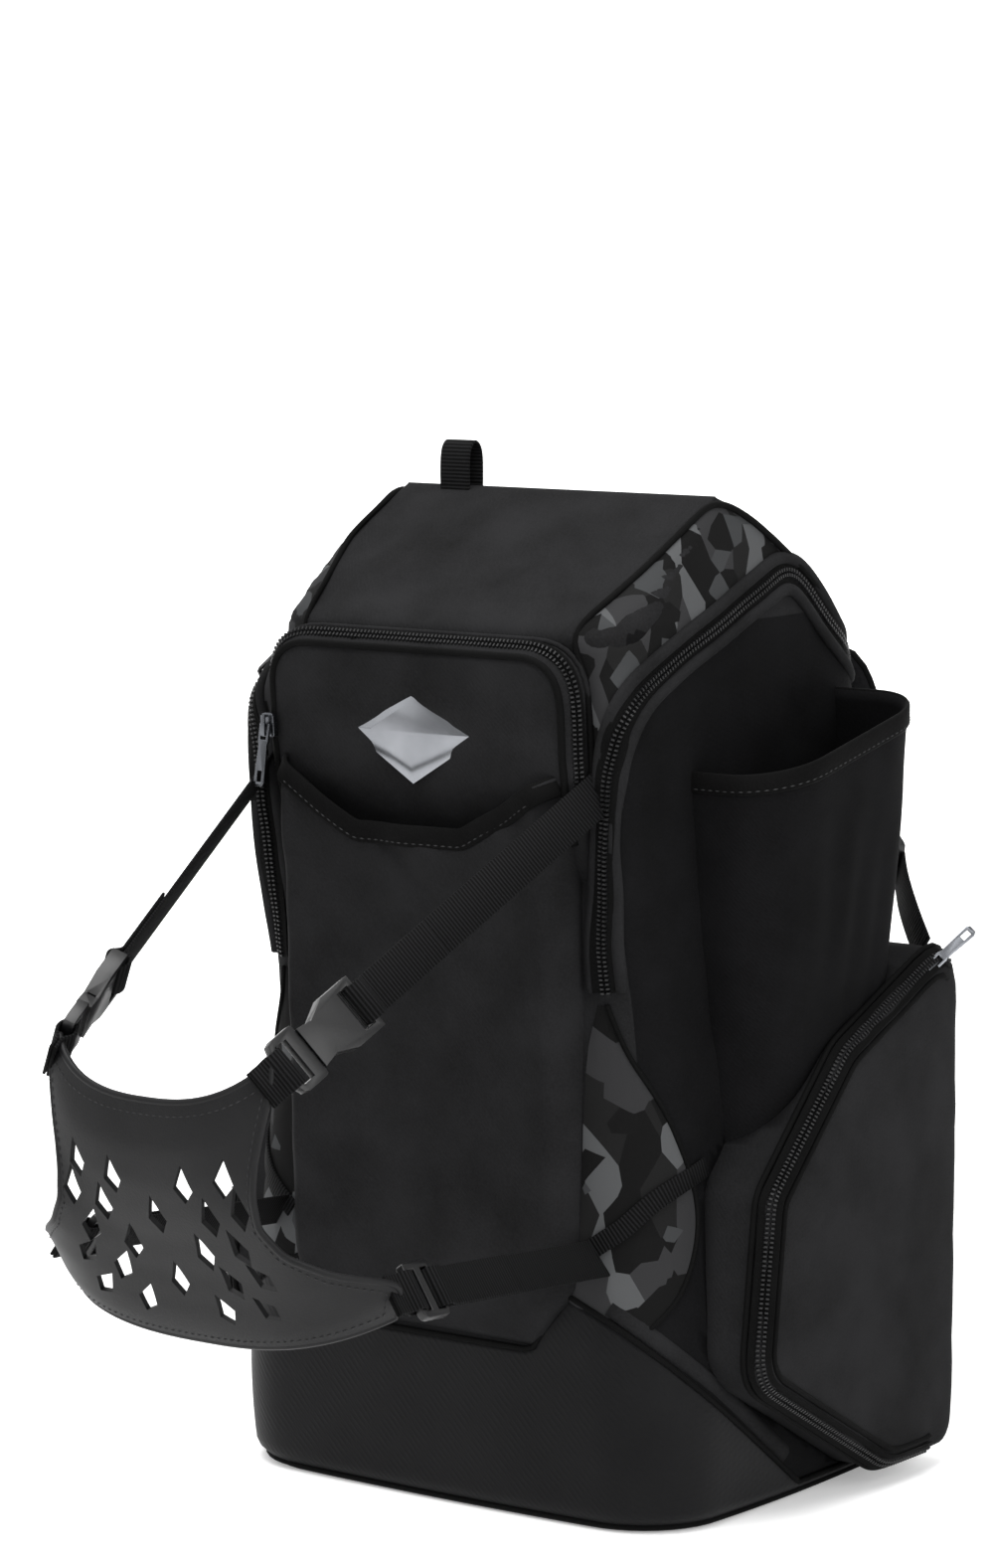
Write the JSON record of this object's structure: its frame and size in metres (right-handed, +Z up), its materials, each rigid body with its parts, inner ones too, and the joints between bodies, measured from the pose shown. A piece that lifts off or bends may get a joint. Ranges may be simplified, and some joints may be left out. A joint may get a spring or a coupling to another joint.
{
  "type": "baseball bat backpack",
  "caption": "Sports backpack with zipped compartments, open bat sleeves at both sides and a pierced buckled sling that holds a helmet at the front.",
  "frame": {"origin": "middle of the flat base that the bag stands on", "axes": "+Z up the bag to its ridge, -Y out of its front, where the helmet sling is, +X to the bag's side that the picture shows"},
  "size_m": [0.3606, 0.492, 0.5309],
  "materials": {
    "twill": "fine black polyester twill, matt, with grey camouflage gussets",
    "coated_cloth": "coated woven cloth, slightly grained, low sheen",
    "air_mesh": "spacer mesh over foam, matt",
    "sleeve_cloth": "stretch cloth, matt",
    "webbing": "ribbed polyester webbing",
    "sling_cloth": "smooth synthetic leather, low sheen",
    "acetal": "moulded acetal, satin",
    "zip_coil": "black coil zip on woven tape",
    "zip_metal": "gunmetal plated, polished",
    "badge_metal": "bright faceted metal"
  },
  "bodies": {
    "bag": {"main_body": "twill", "front_pocket": "twill", "lower_front_pocket": "twill", "side_pocket_right": "twill", "side_pocket_left": "twill", "base_boot": "coated_cloth", "back_pad": "air_mesh", "shoulder_strap_right": "air_mesh", "shoulder_strap_left": "air_mesh", "bat_sleeve_right": "sleeve_cloth", "bat_sleeve_left": "sleeve_cloth", "hanging_loop": "webbing", "corner_strap_right": "webbing", "corner_strap_left": "webbing", "strap_webbing_right": "webbing", "strap_webbing_left": "webbing", "sling_tab_upper_right": "webbing", "sling_tab_upper_left": "webbing", "sling_strap_upper_right": "webbing", "sling_strap_upper_left": "webbing", "sling_tab_lower_right": "webbing", "sling_tab_lower_left": "webbing", "sling_strap_lower_right": "webbing", "sling_strap_lower_left": "webbing", "sling_panel": "sling_cloth", "buckle_plug_right": "acetal", "buckle_plug_left": "acetal", "buckle_socket_right": "acetal", "buckle_socket_left": "acetal", "sling_lock_right": "acetal", "sling_lock_left": "acetal", "strap_adjuster_right": "acetal", "strap_adjuster_left": "acetal", "main_zip": "zip_coil", "pocket_zip": "zip_coil", "main_slider": "zip_coil", "side_zip_right": "zip_coil", "side_zip_left": "zip_coil", "pocket_slider": "zip_metal", "side_slider_right": "zip_metal", "side_slider_left": "zip_metal", "badge": "badge_metal"},
    "side_pull_right_body": {"side_pull_right": "zip_metal"},
    "side_pull_left_body": {"side_pull_left": "zip_metal"},
    "main_pull_body": {"main_pull": "zip_coil"},
    "pocket_pull_body": {"pocket_pull": "zip_metal"}
  },
  "joints": [
    {"name": "side_pull_right_hinge", "type": "hinge", "parent": "bag", "child": "side_pull_right_body", "pos_m": [0.16759, 0.08696, 0.26329], "axis": [0.6767, 0.2234, -0.7016], "range_deg": [-24, 80]},
    {"name": "side_pull_left_hinge", "type": "hinge", "parent": "bag", "child": "side_pull_left_body", "pos_m": [-0.16759, 0.08696, 0.26329], "axis": [0.6767, -0.2234, 0.7016], "range_deg": [-24, 80]},
    {"name": "main_pull_hinge", "type": "hinge", "parent": "bag", "child": "main_pull_body", "pos_m": [-0.12215, -0.06607, 0.42867], "axis": [-0.141, 0.6395, -0.7557], "range_deg": [-8, 95]},
    {"name": "pocket_pull_hinge", "type": "hinge", "parent": "bag", "child": "pocket_pull_body", "pos_m": [-0.0885, -0.13337, 0.39], "axis": [-1, 0, 0], "range_deg": [-6, 95]}
  ]
}
